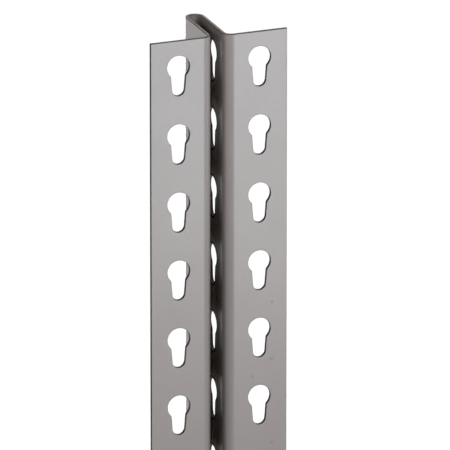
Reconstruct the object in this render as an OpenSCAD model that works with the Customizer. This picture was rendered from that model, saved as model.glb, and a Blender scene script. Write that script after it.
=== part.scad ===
// Tee post of boltless rivet shelving: one strip of sheet steel, roll formed
// into two flanges in one plane with a narrow loop folded out behind them.
// Keyholes for the rivets of the shelf beams are punched along both flanges
// and through both legs of the loop.
// The post stands on z = 0 with the middle of its box on the z axis. The
// fronts of the flanges look along -Y, and the loop reaches back along +Y.

/* [Post] */
// Length of the post, a whole number of keyhole pitches
post_height = 914.4; // [304.8:38.1:2438.4]
// Width over both flanges
post_width = 77; // [70:0.5:90]
// Depth from the front of the flanges to the back of the loop
post_depth = 41; // [37:0.5:50]
// Thickness of the sheet
sheet = 1.9; // [1.2:0.1:2.6]

/* [Loop] */
// Clear gap between the two legs
loop_gap = 6.6; // [4:0.2:9]
// Inner radius of the bends between the legs and the flanges
front_bend_r = 3.6; // [1:0.1:4.5]

/* [Keyholes] */
// Distance between the rows of keyholes
pitch = 38.1; // [30:0.1:50.8]
// Diameter of the round part, which lets the head of a rivet through
round_d = 12.7; // [10:0.1:13.5]
// Height of a keyhole over its round part and its slot
keyhole_height = 22.3; // [20:0.1:25]
// Width of the slot at the level of the round part's centre, its widest
slot_top_width = 9.1; // [7.3:0.1:9.5]
// Width of the slot at its round lower end, where the rivet sits
slot_end_width = 7.1; // [5:0.1:7.3]
// Radius of the necks, where the round part runs into the slot
neck_r = 1.5; // [0.5:0.1:2]
// Distance from the top of the post to the first round part
first_drop = 8.2; // [4:0.1:10]
// Distance from the outer edge of a flange to the centres of its keyholes
flange_keyhole_edge = 15.6; // [13:0.1:18]
// Distance from the front of the flanges to the keyholes of the legs
leg_keyhole_depth = 19.1; // [17:0.1:24]

/* [Hidden] */

$fn = 96;
cut_over = 1;

// Section of the loop
front_out_r = front_bend_r + sheet;
back_out_r = loop_gap / 2 + sheet;
back_y = post_depth - back_out_r;
front_x = back_out_r + front_bend_r;

// Keyholes
rows = floor(post_height / pitch);
first_z = post_height - first_drop - round_d / 2;
slot_drop = keyhole_height - round_d / 2 - slot_end_width / 2;
flange_keyhole_x = post_width / 2 - flange_keyhole_edge;

// Necks of a keyhole. Each arc has its centre in the sheet beside the hole, and
// reaches a little past the round part and the slot, so that the outlines cross.
neck_overlap = 0.01;
slot_lean = atan((slot_top_width - slot_end_width) / 2 / slot_drop);
slot_normal = [cos(slot_lean), -sin(slot_lean)];
neck_reach = round_d / 2 + neck_r - neck_overlap;
neck_offset = slot_top_width / 2 * cos(slot_lean) + neck_r - neck_overlap;
neck_angle = slot_lean + acos(neck_offset / neck_reach);
neck_centre = neck_reach * [cos(neck_angle), -sin(neck_angle)];

// Quarter ring of the sheet's thickness, in the quarter where x and y are positive
module quarter_bend(inner_r) {
    intersection() {
        difference() {
            circle(r = inner_r + sheet);
            circle(r = inner_r);
        }
        square(inner_r + sheet);
    }
}

// Right half of the section: half of the back bend, a leg, a bend and a flange
module half_section() {
    translate([0, back_y])
        quarter_bend(loop_gap / 2);
    translate([loop_gap / 2, front_out_r])
        square([sheet, back_y - front_out_r]);
    translate([front_x, front_out_r])
        rotate(180)
            quarter_bend(front_bend_r);
    translate([front_x, 0])
        square([post_width / 2 - front_x, sheet]);
}

module section() {
    half_section();
    mirror([1, 0])
        half_section();
}

// Corner between the round part and the slot, opened up to a neck's arc
module neck_corner() {
    difference() {
        polygon([[0, 0], neck_centre, neck_centre - slot_end_width / 2 * slot_normal]);
        translate(neck_centre)
            circle(r = neck_r);
    }
}

// Cutter for one keyhole, raised along z, with its slot towards -y
module keyhole_cutter(length) {
    linear_extrude(length) {
        circle(d = round_d);
        neck_corner();
        mirror([1, 0])
            neck_corner();
        polygon([
            [-slot_top_width / 2, 0],
            [-slot_end_width / 2, -slot_drop],
            [slot_end_width / 2, -slot_drop],
            [slot_top_width / 2, 0]
        ]);
        translate([0, -slot_drop])
            circle(d = slot_end_width);
    }
}

// Keyhole through a flange, cut from behind it to its front
module flange_keyhole() {
    translate([0, sheet + cut_over, 0])
        rotate([90, 0, 0])
            keyhole_cutter(sheet + 2 * cut_over);
}

// Keyhole through both legs of the loop, cut from left to right
module leg_keyhole() {
    translate([-front_x, leg_keyhole_depth, 0])
        rotate([90, 0, 90])
            keyhole_cutter(2 * front_x);
}

// The three keyholes of one row
module keyhole_row() {
    for (side = [-1, 1])
        translate([side * flange_keyhole_x, 0, 0])
            flange_keyhole();
    leg_keyhole();
}

module tee_post() {
    color("darkgray")
        translate([0, -post_depth / 2, 0])
            difference() {
                linear_extrude(post_height)
                    section();
                for (row = [0 : rows - 1])
                    translate([0, 0, first_z - row * pitch])
                        keyhole_row();
            }
}

tee_post();
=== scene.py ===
import math

import bpy
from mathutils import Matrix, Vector


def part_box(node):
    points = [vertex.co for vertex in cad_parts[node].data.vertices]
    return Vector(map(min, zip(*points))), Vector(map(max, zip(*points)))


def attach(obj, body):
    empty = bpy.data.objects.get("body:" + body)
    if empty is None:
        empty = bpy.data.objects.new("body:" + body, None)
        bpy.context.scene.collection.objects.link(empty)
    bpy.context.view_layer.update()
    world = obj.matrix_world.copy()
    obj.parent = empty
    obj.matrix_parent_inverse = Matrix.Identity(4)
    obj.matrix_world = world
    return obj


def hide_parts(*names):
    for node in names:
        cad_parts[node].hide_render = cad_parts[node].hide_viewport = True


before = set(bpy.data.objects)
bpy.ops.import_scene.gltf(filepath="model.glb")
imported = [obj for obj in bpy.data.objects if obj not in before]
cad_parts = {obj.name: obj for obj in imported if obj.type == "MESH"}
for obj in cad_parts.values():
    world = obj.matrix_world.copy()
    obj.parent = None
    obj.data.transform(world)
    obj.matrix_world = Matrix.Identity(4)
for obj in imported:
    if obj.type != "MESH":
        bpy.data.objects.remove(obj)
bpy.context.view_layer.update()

# Sizes of the post, in millimetres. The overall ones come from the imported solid.
MM = 0.001
low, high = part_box("tee_post")
HEIGHT = (high.z - low.z) / MM
WIDTH = (high.x - low.x) / MM
DEPTH = (high.y - low.y) / MM
SHEET = 1.9
LOOP_GAP = 6.6
FRONT_BEND_R = 3.6

# Keyholes. The half widths of the slot are at the level of the round part's centre and at
# its round lower end.
PITCH = 38.1
ROUND_R = 6.35
KEYHOLE_HEIGHT = 22.3
SLOT_TOP_HALF = 4.55
SLOT_END_HALF = 3.55
NECK_R = 1.5
FIRST_DROP = 8.2
FLANGE_KEYHOLE_EDGE = 15.6
LEG_KEYHOLE_DEPTH = 19.1

# Fine shape of the edges, which the solid leaves sharp: the punched ones are rounded more on
# the front, where the punch goes in, than behind, and the sheared ones alike on both sides
PUNCH_ROLL_R = 0.2
PUNCH_BURR_R = 0.15
SHEAR_R = 0.22

# How finely the mesh is divided. Each keyhole has a cell of the grid to itself, and its outline
# has as many points as the cell's border. RIM_BAND is the width of the flat band around it.
CELL_HALF = 9.5
CELL_COLUMNS = 10
CELL_ROWS = 14
BEND_COLUMNS = 8
BESIDE_COLUMNS = 2
EDGE_COLUMNS = 3
RIM_BAND = 1.2
ROUND_STEPS = 13
NECK_STEPS = 3
SIDE_STEPS = 2
END_STEPS = 6
FRONT_EDGE_STEPS = 3
BACK_EDGE_STEPS = 2

# Weight of the large flat faces in the normals that the shading follows, where 50 is neutral
FLAT_FACES_WEIGHT = 80

# Flaws in the paint of the right flange: x and z of each, and its radius. A flaw has its full
# effect out to FLAW_CORE of its radius.
FLAWS = ((30.2, 729.9, 1.2), (19.0, 721.2, 1.0), (30.2, 682.4, 1.1), (30.3, 762.0, 1.0))
FLAW_CORE = 0.4

# The camera of the photo, and its aim on the front of the flanges
CAMERA_AZIMUTH = -20.9
CAMERA_ELEVATION = 19.3
CAMERA_DISTANCE = 5.4
CAMERA_LENS = 814.9
CAMERA_AIM = Vector((0.0033, -0.0205, 0.80865))

# How far the camera sees, and how far the floor reaches from the post, in metres
CAMERA_SIGHT = 500
FLOOR_REACH = 150

# Strength and spread of the wide light overhead, and strength of the backdrop's light
OVERHEAD_STRENGTH = 3.2
OVERHEAD_SPREAD = 45
WORLD_STRENGTH = 0.08

# Area lights: name, place, the point it faces, width and height in metres, power and colour
AREA_LIGHTS = (
    ("key", (0.1, -0.35, 1.15), (0, 0, 0.88), (0.2, 0.2), 1.2, (1, 0.99, 0.98)),
    ("side", (-0.4, 0.1, 1.1), (0, 0, 0.88), (0.2, 0.2), 0.28, (1, 0.98, 0.96)),
    ("card_high", (0.31, -0.85, 0.668), (0, 0, 0.86), (0.26, 0.335), 1.62, (0.88, 1, 1.06)),
    ("card_low", (0.31, -0.85, 0.468), (0, 0, 0.86), (0.26, 0.065), 0.3, (1.06, 0.98, 1.02)),
    ("back_left", (0.3, 1.3, 0.6), (0, 0, 0.45), (0.4, 1.2), 12, (1, 1, 1)),
    ("back_right", (1.0, 0.6, 0.6), (0, 0, 0.45), (0.4, 1.2), 14, (1, 1, 1)),
    ("left_low", (-0.8, 0.25, 0.1), (0, 0, 0.25), (0.4, 0.4), 1.6, (1, 1, 1)),
)

# Tones of the paint, with the painted shade laid on it
GREY = (0.204, 0.182, 0.174, 1)
LIGHTER_GREY = (0.216, 0.193, 0.184, 1)
GRAIN_GREY = (0.263, 0.237, 0.226, 1)
# Painted shade, low down on the inside of the bends and legs
LOW_SHADE = (0.06, 0.051, 0.045, 1)
# Painted shade inside the fold, darker and browner
FOLD_SHADE = (0.07, 0.058, 0.05, 1)
# Painted shade in the fold's darkest depth; the same tone gives the dark rims of the legs' keyholes
DEEP_SHADE_AND_RIMS = (0.008, 0.006, 0.005, 1)
FLAW_PAINT = (0.11, 0.1, 0.09, 1)

# How far each of these tones covers the grey at most. The painted shade inside the fold varies between
# two shares.
GRAIN_SHARE = 0.1
LOW_SHADE_SHARE = 0.75
FOLD_SHADE_SHARE = (0.55, 0.95)
DEEP_SHADE_AND_RIM_SHARE = 0.95
FLAW_SHARE = 0.2

# Tones of the cut steel, partly painted shade on the walls and corners, and of the floor
DARK_STEEL_AND_SHADE = (0.022, 0.02, 0.019, 1)
PUNCHED_CORNER_SHADE = (0.012, 0.011, 0.01, 1)
FLANGE_END = (0.05, 0.046, 0.043, 1)
LEG_END = (0.13, 0.12, 0.112, 1)
FLOOR_GREY = (0.92, 0.92, 0.92, 1)
FLOOR_WHITE = (0.94, 0.94, 0.94, 1)

# Patches in the materials: scale and detail of the noise, and how far from 0.5 it has its full effect
GREY_PATCHES = (22, 3, 0.2)
GRAIN_PATCHES = (900, 2, 0.15)
FOLD_STREAKS = (90, 3, 0.15)
GLOSS_PATCHES = (30, 2, 0.2)
STEEL_PATCHES = (900, 2, 0.2)
FOLD_STREAK_STRETCH = (1, 1, 0.25)

# Noise between the two tones of the floor, and in the skins of the paint and the cut steel:
# scale and detail
FLOOR_NOISE = (3, 2)
SKIN_NOISE = (520, 2)
STEEL_NOISE = (1500, 2)

# How far the skins and the flaws stand out, in millimetres
SKIN_RELIEF = 0.01
STEEL_RELIEF = 0.03
FLAW_RELIEF = 0.12

# Gloss of the surfaces
PAINT_ROUGHNESS = (0.255, 0.27)
PAINT_IOR = 1.5
STEEL_ROUGHNESS = (0.5, 0.7)
STEEL_SPECULAR = 0.2
FLOOR_ROUGHNESS = 0.8

# On a cut face the core's tone holds out to the first of these shares of the thickness from
# its middle, and the corners' tone begins at the second
CORE_REACH = (0.1, 0.3)

# The painted shade inside the fold and that of its darkest depth begin and are full so far below the
# post's ends
FOLD_SHADE_BELOW = (1.5, 5.5)
DEEP_SHADE_BELOW = (3.5, 6.5)

# Between these depths below the ends the painted shade on the bends and legs comes in
LOW_SHADE_BELOW = (60, 220)

# Places along y where the painted shade of the fold's darkest depth begins, is full, ends to be full and
# ends
DEEP_SHADE_FROM = (-1.2, 1.3)
DEEP_SHADE_UNTIL = (12.5, 15.5)

# Share of the rim's tone at which the rim is as dark as it gets
RIM_FULL = 0.35

# Materials of the faces, by their place in the mesh's list
PAINT = 0
CUT = 1
END = 2


# Section of the sheet, unrolled

# The middle of the sheet is followed from the back of the loop, where u is 0,
# to the outer edge of a flange. The other half is its mirror image.
BACK_MID_R = (LOOP_GAP + SHEET) / 2
FRONT_MID_R = FRONT_BEND_R + SHEET / 2
FRONT_OUT_R = FRONT_BEND_R + SHEET
BACK_Y = DEPTH - LOOP_GAP / 2 - SHEET
FRONT_X = LOOP_GAP / 2 + SHEET + FRONT_BEND_R
U_LEG = BACK_MID_R * math.pi / 2
U_BEND = U_LEG + BACK_Y - FRONT_OUT_R
U_FLANGE = U_BEND + FRONT_MID_R * math.pi / 2
U_EDGE = U_FLANGE + WIDTH / 2 - FRONT_X
U_LEG_KEYHOLE = U_LEG + BACK_Y - LEG_KEYHOLE_DEPTH
U_FLANGE_KEYHOLE = U_EDGE - FLANGE_KEYHOLE_EDGE

# Where the painted shade inside the fold begins and where it is full. Along the back of the loop it
# gets weaker between BACK_START and BACK_FULL, where BACK_SHARE of it is left.
FOLD_START = U_BEND + 3
FOLD_FULL = U_BEND - 5
BACK_START = U_LEG
BACK_FULL = U_LEG / 2
BACK_SHARE = 0.4


def place(u, z, depth):
    """Point in metres of the rolled sheet. depth counts from its middle towards its front side."""
    run = abs(u)
    if run < U_LEG:
        turn = run / BACK_MID_R
        x = (BACK_MID_R - depth) * math.sin(turn)
        y = BACK_Y + (BACK_MID_R - depth) * math.cos(turn)
    elif run < U_BEND:
        x = BACK_MID_R - depth
        y = BACK_Y - (run - U_LEG)
    elif run < U_FLANGE:
        turn = (run - U_BEND) / FRONT_MID_R
        x = FRONT_X - (FRONT_MID_R + depth) * math.cos(turn)
        y = FRONT_OUT_R - (FRONT_MID_R + depth) * math.sin(turn)
    else:
        x = FRONT_X + (run - U_FLANGE)
        y = SHEET / 2 - depth
    return Vector((math.copysign(x, u), y - DEPTH / 2, z)) * MM


# Outline of a keyhole, as points and their normals into the sheet

def arc(centre, radius, start, end, count, turned=1):
    """Points after the start of an arc, with normals out of the circle, or into it where turned is -1."""
    points = []
    for k in range(1, count + 1):
        angle = start + (end - start) * k / count
        normal = Vector((math.cos(angle), math.sin(angle)))
        points.append((centre + radius * normal, turned * normal))
    return points


def half_outline():
    """Right half of the outline, from the top of the round part down to the end of the slot."""
    drop = KEYHOLE_HEIGHT - ROUND_R - SLOT_END_HALF
    lean = math.atan2(SLOT_TOP_HALF - SLOT_END_HALF, drop)
    neck_reach = ROUND_R + NECK_R
    neck_angle = lean + math.acos((SLOT_TOP_HALF * math.cos(lean) + NECK_R) / neck_reach)
    neck_centre = neck_reach * Vector((math.cos(neck_angle), -math.sin(neck_angle)))
    end_centre = Vector((0, -drop))
    points = [(Vector((0, ROUND_R)), Vector((0, 1)))]
    points += arc(Vector((0, 0)), ROUND_R, math.pi / 2, -neck_angle, ROUND_STEPS)
    points += arc(neck_centre, NECK_R, math.pi - neck_angle, math.pi - lean, NECK_STEPS, turned=-1)
    side_start, side_normal = points[-1]
    side_end = end_centre + SLOT_END_HALF * side_normal
    points += [(side_start.lerp(side_end, k / SIDE_STEPS), side_normal) for k in range(1, SIDE_STEPS + 1)]
    points += arc(end_centre, SLOT_END_HALF, -lean, -math.pi / 2, END_STEPS)
    return points


def whole_outline():
    """The outline clockwise from the top, both halves."""
    half = half_outline()
    mirror = [(Vector((-p.x, p.y)), Vector((-normal.x, normal.y))) for p, normal in half[-2:0:-1]]
    return half + mirror


# Mesh of the rolled sheet

def steps(start, end, count):
    """Evenly spaced values from the start up to the last one before the end."""
    return [start + (end - start) * k / count for k in range(count)]


def ramp(value, start, end):
    """0 at the start and before it, 1 at the end and after it."""
    return min(max((value - start) / (end - start), 0), 1)


def half_columns():
    """Values of u from the back of the loop to a flange's edge, and where the cells of keyholes start."""
    u = steps(0, U_LEG, BEND_COLUMNS)
    u += steps(U_LEG, U_LEG_KEYHOLE - CELL_HALF, BESIDE_COLUMNS)
    cells = [len(u)]
    u += steps(U_LEG_KEYHOLE - CELL_HALF, U_LEG_KEYHOLE + CELL_HALF, CELL_COLUMNS)
    u += steps(U_LEG_KEYHOLE + CELL_HALF, U_BEND, BESIDE_COLUMNS)
    u += steps(U_BEND, U_FLANGE, BEND_COLUMNS)
    u += steps(U_FLANGE, U_FLANGE_KEYHOLE - CELL_HALF, BESIDE_COLUMNS)
    cells.append(len(u))
    u += steps(U_FLANGE_KEYHOLE - CELL_HALF, U_FLANGE_KEYHOLE + CELL_HALF, CELL_COLUMNS)
    u += steps(U_FLANGE_KEYHOLE + CELL_HALF, U_EDGE - SHEAR_R, EDGE_COLUMNS)
    u.append(U_EDGE - SHEAR_R)
    return u, cells


class Sheet:
    """Vertices and faces of the rolled sheet, gathered in unrolled coordinates.

    Its grid has columns along u and levels along z. Front is side 1, and behind is side -1."""

    def __init__(self):
        half_u, half_cells = half_columns()
        middle = len(half_u) - 1
        self.us = [-u for u in half_u[:0:-1]] + half_u
        self.cells = [middle + c for c in half_cells] + [middle - c - CELL_COLUMNS for c in half_cells]
        self.rows = round(HEIGHT / PITCH)
        self.zs = [PITCH * k / CELL_ROWS for k in range(self.rows * CELL_ROWS + 1)]
        self.zs[0] = SHEAR_R
        self.zs[-1] = HEIGHT - SHEAR_R
        self.last_column = len(self.us) - 1
        self.last_level = len(self.zs) - 1
        self.points = []
        self.tones = {"across": [], "inner": [], "fold": [], "rim": [], "leg": []}
        self.faces = []
        self.surfaces = []
        self.grid = {}

    def add(self, u, z, depth, rim=0.0):
        """New vertex. rim is 1 on the edge of a keyhole whose surroundings are dark."""
        inner = 0.5 + depth / SHEET
        fold = ramp(abs(u), FOLD_START, FOLD_FULL)
        back = ramp(abs(u), BACK_START, BACK_FULL)
        self.points.append(place(u, z, depth))
        self.tones["across"].append(1 - inner)
        self.tones["inner"].append(inner)
        # fold marks where the painted shade inside the fold lies
        self.tones["fold"].append(inner * fold * (1 - (1 - BACK_SHARE) * back))
        self.tones["rim"].append(rim)
        self.tones["leg"].append(ramp(abs(u), U_FLANGE, U_BEND))
        return len(self.points) - 1

    def vertex(self, column, level, side):
        """Vertex of the grid, added when it is first asked for."""
        key = (column, level, side)
        if key not in self.grid:
            self.grid[key] = self.add(self.us[column], self.zs[level], side * SHEET / 2)
        return self.grid[key]

    def ring(self, places, side):
        """Vertices of the grid at several places, each a column and a level."""
        return [self.vertex(column, level, side) for column, level in places]

    def face(self, corners, surface=PAINT):
        self.faces.append(corners)
        self.surfaces.append(surface)

    def band(self, ring, next_ring, surfaces=None):
        """Quads between two closed rings of equally many vertices."""
        count = len(ring)
        for k in range(count):
            m = (k + 1) % count
            self.face((ring[k], next_ring[k], next_ring[m], ring[m]), surfaces[k] if surfaces else PAINT)


def round_edge(sheet, front_ring, back_ring, edge_point, front_r, back_r, surfaces):
    """Rounds and closes the edge between a ring on the front and one behind.

    edge_point(k, inset) gives (u, z) of vertex k at a distance from the edge."""
    turns = [(1, front_r, math.pi / 2 * k / FRONT_EDGE_STEPS) for k in range(1, FRONT_EDGE_STEPS + 1)]
    turns += [(-1, back_r, math.pi / 2 * (1 - k / BACK_EDGE_STEPS)) for k in range(BACK_EDGE_STEPS)]
    ring = front_ring
    for side, radius, turn in turns:
        inset = radius * (1 - math.sin(turn))
        depth = side * (SHEET / 2 - radius * (1 - math.cos(turn)))
        next_ring = [sheet.add(*edge_point(k, inset), depth) for k in range(len(ring))]
        sheet.band(ring, next_ring, surfaces)
        ring = next_ring
    sheet.band(ring, back_ring, surfaces)


def plain_columns(sheet):
    """Both sides of the sheet in the columns that have no keyholes."""
    in_cell = {cell + k for cell in sheet.cells for k in range(CELL_COLUMNS)}
    for side in (1, -1):
        for column in range(sheet.last_column):
            if column in in_cell:
                continue
            for level in range(sheet.last_level):
                lower = [(column, level), (column + 1, level)]
                upper = [(column + 1, level + 1), (column, level + 1)]
                quad = sheet.ring(lower + upper, side)
                sheet.face(quad if side > 0 else quad[::-1])


def cell_border(cell, top):
    """Grid places around a keyhole's cell, clockwise from the middle of its top."""
    half = CELL_COLUMNS // 2
    bottom = top - CELL_ROWS
    border = [(cell + k, top) for k in range(half, CELL_COLUMNS)]
    border += [(cell + CELL_COLUMNS, top - k) for k in range(CELL_ROWS)]
    border += [(cell + CELL_COLUMNS - k, bottom) for k in range(CELL_COLUMNS)]
    border += [(cell, bottom + k) for k in range(CELL_ROWS)]
    border += [(cell + k, top) for k in range(half)]
    return border


def keyhole_cell(sheet, outline, cell, row):
    """Both sides of the sheet around one keyhole, and its punched edge."""
    border = cell_border(cell, sheet.last_level - row * CELL_ROWS)
    centre_u = sheet.us[cell + CELL_COLUMNS // 2]
    centre_z = HEIGHT - FIRST_DROP - ROUND_R - row * PITCH
    front_tone = 1.0 if abs(centre_u) < U_BEND else 0.0

    def edge_point(k, inset):
        point, normal = outline[k]
        moved = point + inset * normal
        return centre_u + moved.x, centre_z + moved.y

    def around(inset, side, rim=0.0):
        return [sheet.add(*edge_point(k, inset), side * SHEET / 2, rim) for k in range(len(outline))]

    outer = sheet.ring(border, 1)
    front = around(PUNCH_ROLL_R, 1, front_tone)
    between = around(PUNCH_ROLL_R + RIM_BAND, 1)
    sheet.band(outer, between)
    sheet.band(between, front)
    outer = sheet.ring(border, -1)
    behind = around(PUNCH_BURR_R, -1)
    between = around(PUNCH_BURR_R + RIM_BAND, -1)
    sheet.band(between, outer)
    sheet.band(behind, between)
    round_edge(sheet, front, behind, edge_point, PUNCH_ROLL_R, PUNCH_BURR_R, [CUT] * len(outline))


def sheared_edge(sheet):
    """The two ends of the sheet and its two long sides, in one loop."""
    last_column = sheet.last_column
    last_level = sheet.last_level
    loop = [(column, 0) for column in range(last_column)]
    loop += [(last_column, level) for level in range(last_level)]
    loop += [(last_column - column, last_level) for column in range(last_column)]
    loop += [(0, last_level - level) for level in range(last_level)]

    def edge_point(k, inset):
        column, level = loop[k]
        out_u = (column == last_column) - (column == 0)
        out_z = (level == last_level) - (level == 0)
        out = SHEAR_R - inset
        return sheet.us[column] + out_u * out, sheet.zs[level] + out_z * out

    surfaces = 2 * ([END] * last_column + [CUT] * last_level)
    round_edge(sheet, sheet.ring(loop, 1), sheet.ring(loop, -1), edge_point, SHEAR_R, SHEAR_R, surfaces)


def build_sheet():
    sheet = Sheet()
    plain_columns(sheet)
    outline = whole_outline()
    for cell in sheet.cells:
        for row in range(sheet.rows):
            keyhole_cell(sheet, outline, cell, row)
    sheared_edge(sheet)
    return sheet


def make_post():
    sheet = build_sheet()
    mesh = bpy.data.meshes.new("post_sheet")
    mesh.from_pydata([tuple(point) for point in sheet.points], [], sheet.faces)
    mesh.update()
    for name, values in sheet.tones.items():
        mesh.attributes.new(name, "FLOAT", "POINT").data.foreach_set("value", values)
    mesh.polygons.foreach_set("material_index", sheet.surfaces)
    mesh.polygons.foreach_set("use_smooth", [True] * len(sheet.faces))
    mesh.materials.append(paint_material())
    # The dark tones of the cut faces are partly the steel's own and partly painted shade on the walls and
    # along the corners
    mesh.materials.append(cut_material("punched_edge", DARK_STEEL_AND_SHADE, DARK_STEEL_AND_SHADE, PUNCHED_CORNER_SHADE))
    mesh.materials.append(cut_material("sheared_end", FLANGE_END, LEG_END, DARK_STEEL_AND_SHADE))
    post = bpy.data.objects.new("post_sheet", mesh)
    bpy.context.scene.collection.objects.link(post)
    normals = post.modifiers.new("flat_faces_first", "WEIGHTED_NORMAL")
    normals.weight = FLAT_FACES_WEIGHT
    normals.keep_sharp = False
    return post


# Materials

class Nodes:
    """Short calls for building a material's nodes."""

    def __init__(self, name):
        self.material = bpy.data.materials.new(name)
        self.material.use_nodes = True
        self.tree = self.material.node_tree
        self.shader = self.tree.nodes["Principled BSDF"]
        self.position = self.add("ShaderNodeTexCoord").outputs["Object"]
        parts = self.add("ShaderNodeSeparateXYZ")
        self.put(parts.inputs[0], self.position)
        self.y = parts.outputs["Y"]
        self.z = parts.outputs["Z"]

    def add(self, kind, **settings):
        node = self.tree.nodes.new(kind)
        for key, value in settings.items():
            setattr(node, key, value)
        return node

    def put(self, socket, value):
        """Links a node's output to the socket, or sets the socket to a plain value."""
        if hasattr(value, "is_output"):
            self.tree.links.new(value, socket)
        else:
            socket.default_value = value

    def surface(self, values):
        """Links or sets the shader's sockets, by their names."""
        for name, value in values.items():
            self.put(self.shader.inputs[name], value)

    def math(self, operation, a, b=0.0):
        node = self.add("ShaderNodeMath", operation=operation)
        self.put(node.inputs[0], a)
        self.put(node.inputs[1], b)
        return node.outputs[0]

    def times(self, a, b):
        return self.math("MULTIPLY", a, b)

    def attribute(self, name):
        return self.add("ShaderNodeAttribute", attribute_name=name).outputs["Fac"]

    def noise(self, scale, detail, stretch=(1, 1, 1)):
        mapping = self.add("ShaderNodeMapping")
        self.put(mapping.inputs["Vector"], self.position)
        mapping.inputs["Scale"].default_value = stretch
        node = self.add("ShaderNodeTexNoise")
        self.put(node.inputs["Vector"], mapping.outputs[0])
        node.inputs["Scale"].default_value = scale
        node.inputs["Detail"].default_value = detail
        return node.outputs["Fac"]

    def patches(self, pattern, least=0.0, most=1.0, stretch=(1, 1, 1)):
        """Smooth patches of values from least to most."""
        scale, detail, reach = pattern
        return self.remap(self.noise(scale, detail, stretch), (0.5 - reach, 0.5 + reach), (least, most))

    def remap(self, value, between, results=(0.0, 1.0)):
        """Smooth step from the first result to the second, over the values between two limits."""
        node = self.add("ShaderNodeMapRange", interpolation_type="SMOOTHSTEP")
        self.put(node.inputs["Value"], value)
        node.inputs["From Min"].default_value = between[0]
        node.inputs["From Max"].default_value = between[1]
        node.inputs["To Min"].default_value = results[0]
        node.inputs["To Max"].default_value = results[1]
        return node.outputs["Result"]

    def below_ends(self, span):
        """0 at both ends of the post and down to the span's first depth, rising to 1 at its second."""
        half = HEIGHT / 2
        start, full = span
        from_middle = self.math("ABSOLUTE", self.math("SUBTRACT", self.z, half * MM))
        return self.remap(from_middle, ((half - full) * MM, (half - start) * MM), (1.0, 0.0))

    def along_y(self, span, results):
        """Smooth step over a span along y, given in millimetres."""
        return self.remap(self.y, (span[0] * MM, span[1] * MM), results)

    def spot(self, centre, radius):
        """1 around a point of the object, falling to 0 at a radius from it."""
        node = self.add("ShaderNodeVectorMath", operation="DISTANCE")
        self.put(node.inputs[0], self.position)
        node.inputs[1].default_value = centre
        return self.remap(node.outputs["Value"], (FLAW_CORE * radius, radius), (1.0, 0.0))

    def mix(self, share, a, b):
        node = self.add("ShaderNodeMix", data_type="RGBA")
        self.put(node.inputs["Factor"], share)
        self.put(node.inputs["A"], a)
        self.put(node.inputs["B"], b)
        return node.outputs["Result"]

    def bump(self, height, relief, normal=None):
        node = self.add("ShaderNodeBump")
        node.inputs["Distance"].default_value = relief * MM
        self.put(node.inputs["Height"], height)
        if normal is not None:
            self.put(node.inputs["Normal"], normal)
        return node.outputs["Normal"]


def grained_grey(n):
    colour = n.mix(n.patches(GREY_PATCHES), GREY, LIGHTER_GREY)
    return n.mix(n.times(n.patches(GRAIN_PATCHES), GRAIN_SHARE), colour, GRAIN_GREY)


def painted_low_shade(n, colour):
    """Painted shade on the inside of the bends and legs, far below the ends."""
    bends = n.times(n.attribute("leg"), n.attribute("inner"))
    low_shade = n.times(bends, n.below_ends(LOW_SHADE_BELOW))
    return n.mix(n.times(low_shade, LOW_SHADE_SHARE), colour, LOW_SHADE)


def painted_fold_shade(n, colour):
    """Painted shade inside the fold, darker and browner, in streaks drawn out along the post."""
    streaks = n.patches(FOLD_STREAKS, *FOLD_SHADE_SHARE, stretch=FOLD_STREAK_STRETCH)
    fold_shade = n.times(n.times(n.attribute("fold"), streaks), n.below_ends(FOLD_SHADE_BELOW))
    return n.mix(fold_shade, colour, FOLD_SHADE)


def painted_deep_shade_and_rims(n, colour):
    """Painted shade in the darkest depth of the fold, and the dark rims of the legs' keyholes."""
    dark = n.times(n.attribute("inner"), n.below_ends(DEEP_SHADE_BELOW))
    dark = n.times(dark, n.along_y(DEEP_SHADE_FROM, (0.0, DEEP_SHADE_AND_RIM_SHARE)))
    dark = n.times(dark, n.along_y(DEEP_SHADE_UNTIL, (1.0, 0.0)))
    rims = n.remap(n.attribute("rim"), (0.0, RIM_FULL), (0.0, DEEP_SHADE_AND_RIM_SHARE))
    return n.mix(n.math("MAXIMUM", dark, rims), colour, DEEP_SHADE_AND_RIMS)


def flaws_in_paint(n):
    """1 in each flaw and 0 away from them."""
    spots = [n.spot((x * MM, -DEPTH / 2 * MM, z * MM), radius * MM) for x, z, radius in FLAWS]
    flaws = spots[0]
    for spot in spots[1:]:
        flaws = n.math("MAXIMUM", flaws, spot)
    return flaws


def paint_material():
    """Satin grey enamel with a fine skin, painted shade, darker and browner, inside the fold and low on
    the bends and legs, and a few flaws.
    """
    n = Nodes("grey_enamel")
    flaws = flaws_in_paint(n)
    # The colour carries painted shade low on the bends and legs, inside the fold and in its darkest depth
    colour = painted_deep_shade_and_rims(n, painted_fold_shade(n, painted_low_shade(n, grained_grey(n))))
    colour = n.mix(n.times(flaws, FLAW_SHARE), colour, FLAW_PAINT)
    skin = n.bump(n.noise(*SKIN_NOISE), SKIN_RELIEF)
    n.surface({
        "Base Color": colour,
        "Roughness": n.patches(GLOSS_PATCHES, *PAINT_ROUGHNESS),
        "IOR": PAINT_IOR,
        "Normal": n.bump(flaws, FLAW_RELIEF, skin),
    })
    return n.material


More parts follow.
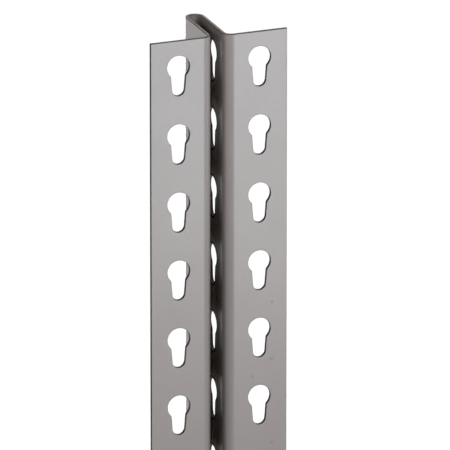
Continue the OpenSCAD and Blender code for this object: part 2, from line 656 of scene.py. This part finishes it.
def cut_material(name, flange_core, leg_core, corners):
    """Cut steel, with the tone of the sheet's middle in flanges and legs and that of its two corners.
    Their dark tones are partly the steel's own and partly painted shade.
    """
    n = Nodes(name)
    from_middle = n.math("ABSOLUTE", n.math("SUBTRACT", n.attribute("across"), 0.5))
    core = n.mix(n.attribute("leg"), flange_core, leg_core)
    n.surface({
        "Base Color": n.mix(n.remap(from_middle, CORE_REACH), core, corners),
        "Roughness": n.patches(STEEL_PATCHES, *STEEL_ROUGHNESS),
        "Specular IOR Level": STEEL_SPECULAR,
        "Normal": n.bump(n.noise(*STEEL_NOISE), STEEL_RELIEF),
    })
    return n.material


def floor_material():
    """Matt and almost white."""
    n = Nodes("pale_floor")
    n.surface({
        "Base Color": n.mix(n.noise(*FLOOR_NOISE), FLOOR_GREY, FLOOR_WHITE),
        "Roughness": FLOOR_ROUGHNESS,
        "Specular IOR Level": 0.0,
    })
    return n.material


# Camera, floor and lights

def turn_to(thing, direction):
    """Makes a camera or a light look along a direction."""
    thing.rotation_mode = "QUATERNION"
    thing.rotation_quaternion = direction.to_track_quat("-Z", "Y")


def make_camera():
    azimuth = math.radians(CAMERA_AZIMUTH)
    elevation = math.radians(CAMERA_ELEVATION)
    level = math.cos(elevation)
    back = Vector((math.sin(azimuth) * level, -math.cos(azimuth) * level, math.sin(elevation)))
    data = bpy.data.cameras.new("camera")
    data.lens = CAMERA_LENS
    data.clip_end = CAMERA_SIGHT
    camera = bpy.data.objects.new("camera", data)
    camera.location = CAMERA_AIM + CAMERA_DISTANCE * back
    turn_to(camera, -back)
    bpy.context.scene.collection.objects.link(camera)
    bpy.context.scene.camera = camera


def make_floor():
    mesh = bpy.data.meshes.new("floor")
    corners = [(x * FLOOR_REACH, y * FLOOR_REACH, 0) for x, y in ((-1, -1), (1, -1), (1, 1), (-1, 1))]
    mesh.from_pydata(corners, [], [(0, 1, 2, 3)])
    mesh.materials.append(floor_material())
    floor = bpy.data.objects.new("floor", mesh)
    bpy.context.scene.collection.objects.link(floor)


def make_lights():
    sun = bpy.data.lights.new("overhead", "SUN")
    sun.energy = OVERHEAD_STRENGTH
    sun.angle = math.radians(OVERHEAD_SPREAD)
    bpy.context.scene.collection.objects.link(bpy.data.objects.new("overhead", sun))
    for name, position, aim, size, power, colour in AREA_LIGHTS:
        data = bpy.data.lights.new(name, "AREA")
        data.shape = "RECTANGLE"
        data.size, data.size_y = size
        data.energy = power
        data.color = colour
        light = bpy.data.objects.new(name, data)
        light.location = position
        turn_to(light, Vector(aim) - Vector(position))
        bpy.context.scene.collection.objects.link(light)


def make_backdrop():
    """Where the floor ends the backdrop is as white as it is, but it lights the post only weakly."""
    world = bpy.data.worlds.new("studio")
    world.use_nodes = True
    nodes = world.node_tree.nodes
    seen = nodes.new("ShaderNodeLightPath").outputs["Is Camera Ray"]
    strength = nodes.new("ShaderNodeMapRange")
    strength.inputs["To Min"].default_value = WORLD_STRENGTH
    strength.inputs["To Max"].default_value = 1.0
    world.node_tree.links.new(seen, strength.inputs["Value"])
    world.node_tree.links.new(strength.outputs["Result"], nodes["Background"].inputs["Strength"])
    nodes["Background"].inputs["Color"].default_value = (1, 1, 1, 1)
    bpy.context.scene.world = world


make_camera()
make_floor()
make_lights()
make_backdrop()
bpy.context.scene.view_settings.view_transform = "Standard"

post = make_post()
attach(post, "root")
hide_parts("tee_post")
